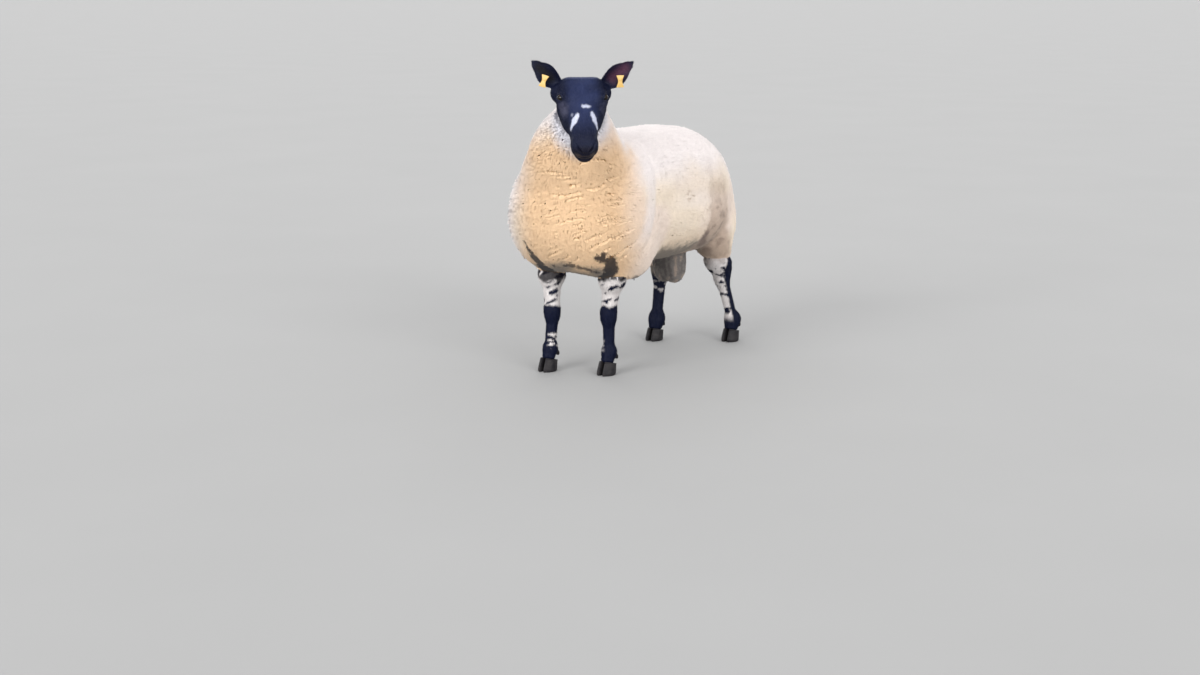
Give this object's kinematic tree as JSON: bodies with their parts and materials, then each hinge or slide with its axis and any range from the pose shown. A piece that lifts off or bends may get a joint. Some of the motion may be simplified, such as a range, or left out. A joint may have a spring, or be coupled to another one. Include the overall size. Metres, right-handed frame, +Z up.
{
  "type": "sheep",
  "caption": "Standing black-faced, polled ram in short trimmed fleece, head turned to its left, with a yellow tag in each ear.",
  "frame": {"origin": "centre of the bounding box in plan, on the floor", "axes": "+Z up, -Y toward the nose end of the trunk, +X toward the animal's left"},
  "size_m": [0.462, 1.0026, 0.9593],
  "materials": {
    "fleece": "short trimmed wool, cream to golden",
    "face_hair": "short flat black hair with white marks",
    "leg_hair": "short flat black hair with white flecks",
    "ear_skin": "thin haired skin",
    "eye": "polished dark glass",
    "hoof_horn": "smooth dark horn",
    "tag_plastic": "moulded yellow plastic",
    "dark_wool": "thin greyish-brown wool"
  },
  "bodies": {
    "root": {"claw_fore_right_left": "hoof_horn", "dewclaw_fore_right_left": "hoof_horn", "claw_fore_right_right": "hoof_horn", "dewclaw_fore_right_right": "hoof_horn", "leg_fore_right": "leg_hair", "claw_fore_left_left": "hoof_horn", "dewclaw_fore_left_left": "hoof_horn", "claw_fore_left_right": "hoof_horn", "dewclaw_fore_left_right": "hoof_horn", "leg_fore_left": "leg_hair", "claw_hind_right_left": "hoof_horn", "dewclaw_hind_right_left": "hoof_horn", "claw_hind_right_right": "hoof_horn", "dewclaw_hind_right_right": "hoof_horn", "leg_hind_right": "leg_hair", "claw_hind_left_left": "hoof_horn", "dewclaw_hind_left_left": "hoof_horn", "claw_hind_left_right": "hoof_horn", "dewclaw_hind_left_right": "hoof_horn", "leg_hind_left": "leg_hair", "trunk": "fleece", "neck": "fleece", "tail": "fleece", "scrotum": "dark_wool", "sheath": "dark_wool", "eye_left": "eye", "ear_left": "ear_skin", "ear_tag_left": "tag_plastic", "eye_right": "eye", "ear_right": "ear_skin", "ear_tag_right": "tag_plastic", "head": "face_hair"}
  },
  "joints": []
}
